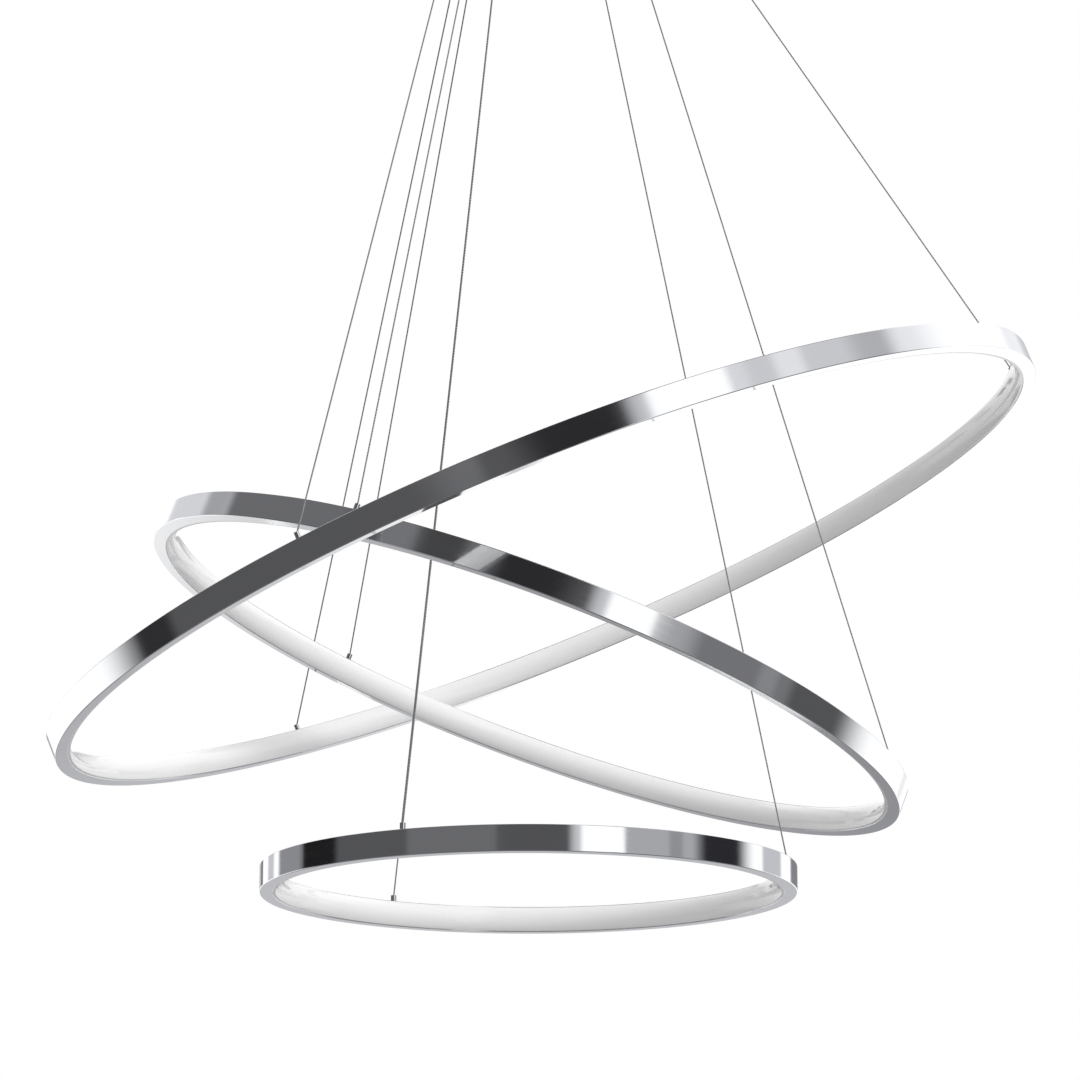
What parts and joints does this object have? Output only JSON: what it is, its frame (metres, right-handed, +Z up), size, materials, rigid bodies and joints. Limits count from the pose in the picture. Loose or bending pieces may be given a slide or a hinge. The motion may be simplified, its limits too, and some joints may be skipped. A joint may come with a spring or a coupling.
{
  "type": "led ring chandelier",
  "caption": "Pendant light: chrome rings with opal strips on their inner faces hang nested and tilted on thin steel wires from a round ceiling canopy.",
  "frame": {"origin": "centre of the ceiling plate's top face, midway between its two screw holes", "axes": "+Z up into the ceiling, +X towards the wires at 0 degrees, where the large ring is tipped up"},
  "size_m": [0.7502, 0.8001, 0.9164],
  "materials": {
    "chrome_ring": "mirror chrome plate on rolled aluminium extrusion",
    "chrome_fitting": "bright chrome plate on turned brass",
    "canopy_chrome": "polished and chromed spun steel",
    "galvanised_steel": "zinc plated",
    "steel_wire": "bare twisted strand",
    "opal_diffuser": "satin opal silicone",
    "circuit": "white solder mask",
    "led_phosphor": "cast silicone",
    "white_nylon": "moulded",
    "driver_case": "moulded, fine spark texture"
  },
  "bodies": {
    "root": {"ceiling_plate": "galvanised_steel", "canopy_dish": "canopy_chrome", "canopy_screws": "chrome_fitting", "large_led_driver": "driver_case", "medium_led_driver": "driver_case", "small_led_driver": "driver_case", "driver_screws": "galvanised_steel", "terminal_block": "white_nylon", "terminal_screws": "galvanised_steel", "grip_stems": "chrome_fitting", "grip_collars": "chrome_fitting", "stem_nuts": "galvanised_steel", "large_grip_bodies": "chrome_fitting", "medium_grip_bodies": "chrome_fitting", "small_grip_bodies": "chrome_fitting", "grip_caps": "chrome_fitting"},
    "large_wires": {"large_wire_1": "steel_wire", "large_wire_2": "steel_wire", "large_wire_3": "steel_wire"},
    "large_ring": {"large_ring_channel": "chrome_ring", "large_diffuser": "opal_diffuser", "large_led_strip": "circuit", "large_leds": "led_phosphor", "large_bushes": "white_nylon", "large_ferrules": "chrome_fitting", "large_stud_nuts": "galvanised_steel"},
    "large_plunger_1": {"large_release_plunger_1": "chrome_fitting"},
    "large_plunger_2": {"large_release_plunger_2": "chrome_fitting"},
    "large_plunger_3": {"large_release_plunger_3": "chrome_fitting"},
    "medium_wires": {"medium_wire_1": "steel_wire", "medium_wire_2": "steel_wire", "medium_wire_3": "steel_wire"},
    "medium_ring": {"medium_ring_channel": "chrome_ring", "medium_diffuser": "opal_diffuser", "medium_led_strip": "circuit", "medium_leds": "led_phosphor", "medium_bushes": "white_nylon", "medium_ferrules": "chrome_fitting", "medium_stud_nuts": "galvanised_steel"},
    "medium_plunger_1": {"medium_release_plunger_1": "chrome_fitting"},
    "medium_plunger_2": {"medium_release_plunger_2": "chrome_fitting"},
    "medium_plunger_3": {"medium_release_plunger_3": "chrome_fitting"},
    "small_wires": {"small_wire_1": "steel_wire", "small_wire_2": "steel_wire", "small_wire_3": "steel_wire"},
    "small_ring": {"small_ring_channel": "chrome_ring", "small_diffuser": "opal_diffuser", "small_led_strip": "circuit", "small_leds": "led_phosphor", "small_bushes": "white_nylon", "small_ferrules": "chrome_fitting", "small_stud_nuts": "galvanised_steel"},
    "small_plunger_1": {"small_release_plunger_1": "chrome_fitting"},
    "small_plunger_2": {"small_release_plunger_2": "chrome_fitting"},
    "small_plunger_3": {"small_release_plunger_3": "chrome_fitting"}
  },
  "joints": [
    {"name": "large_height", "type": "slide", "parent": "root", "child": "large_wires", "axis": [0, 0, 1], "range_m": [-0.08, 0.06], "deforming": ["large_wire_1", "large_wire_2", "large_wire_3"]},
    {"name": "large_tilt", "type": "hinge", "parent": "large_wires", "child": "large_ring", "pos_m": [-0.009, 0, -0.7577], "axis": [0, -1, 0], "range_deg": [-12, 8]},
    {"name": "large_release_1", "type": "slide", "parent": "root", "child": "large_plunger_1", "axis": [-0.5552, -0.0024, 0.8317], "range_m": [0, 0.0025], "stiffness_N_per_m": 400, "springref_m": -0.004},
    {"name": "large_release_2", "type": "slide", "parent": "root", "child": "large_plunger_2", "axis": [0.1923, -0.3784, 0.9054], "range_m": [0, 0.0025], "stiffness_N_per_m": 400, "springref_m": -0.004},
    {"name": "large_release_3", "type": "slide", "parent": "root", "child": "large_plunger_3", "axis": [0.1935, 0.3819, 0.9037], "range_m": [0, 0.0025], "stiffness_N_per_m": 400, "springref_m": -0.004},
    {"name": "medium_height", "type": "slide", "parent": "root", "child": "medium_wires", "axis": [0, 0, 1], "range_m": [-0.1, 0.05], "deforming": ["medium_wire_1", "medium_wire_2", "medium_wire_3"]},
    {"name": "medium_tilt", "type": "hinge", "parent": "medium_wires", "child": "medium_ring", "pos_m": [0.4511, 0, -0.7826], "axis": [0, -1, 0], "range_deg": [-8, 8]},
    {"name": "medium_release_1", "type": "slide", "parent": "root", "child": "medium_plunger_1", "axis": [-0.2841, 0.0008, 0.9588], "range_m": [0, 0.0025], "stiffness_N_per_m": 400, "springref_m": -0.004},
    {"name": "medium_release_2", "type": "slide", "parent": "root", "child": "medium_plunger_2", "axis": [0.1629, -0.3155, 0.9348], "range_m": [0, 0.0025], "stiffness_N_per_m": 400, "springref_m": -0.004},
    {"name": "medium_release_3", "type": "slide", "parent": "root", "child": "medium_plunger_3", "axis": [0.1639, 0.3158, 0.9346], "range_m": [0, 0.0025], "stiffness_N_per_m": 400, "springref_m": -0.004},
    {"name": "small_height", "type": "slide", "parent": "root", "child": "small_wires", "axis": [0, 0, 1], "range_m": [-0.15, 0.1], "deforming": ["small_wire_1", "small_wire_2", "small_wire_3"]},
    {"name": "small_tilt", "type": "hinge", "parent": "small_wires", "child": "small_ring", "pos_m": [0.0954, 0, -0.9123], "axis": [0, -1, 0], "range_deg": [-12, 12]},
    {"name": "small_release_1", "type": "slide", "parent": "root", "child": "small_plunger_1", "axis": [-0.1945, 0, 0.9809], "range_m": [0, 0.0025], "stiffness_N_per_m": 400, "springref_m": -0.004},
    {"name": "small_release_2", "type": "slide", "parent": "root", "child": "small_plunger_2", "axis": [0.0993, -0.1696, 0.9805], "range_m": [0, 0.0025], "stiffness_N_per_m": 400, "springref_m": -0.004},
    {"name": "small_release_3", "type": "slide", "parent": "root", "child": "small_plunger_3", "axis": [0.0993, 0.1696, 0.9805], "range_m": [0, 0.0025], "stiffness_N_per_m": 400, "springref_m": -0.004}
  ]
}
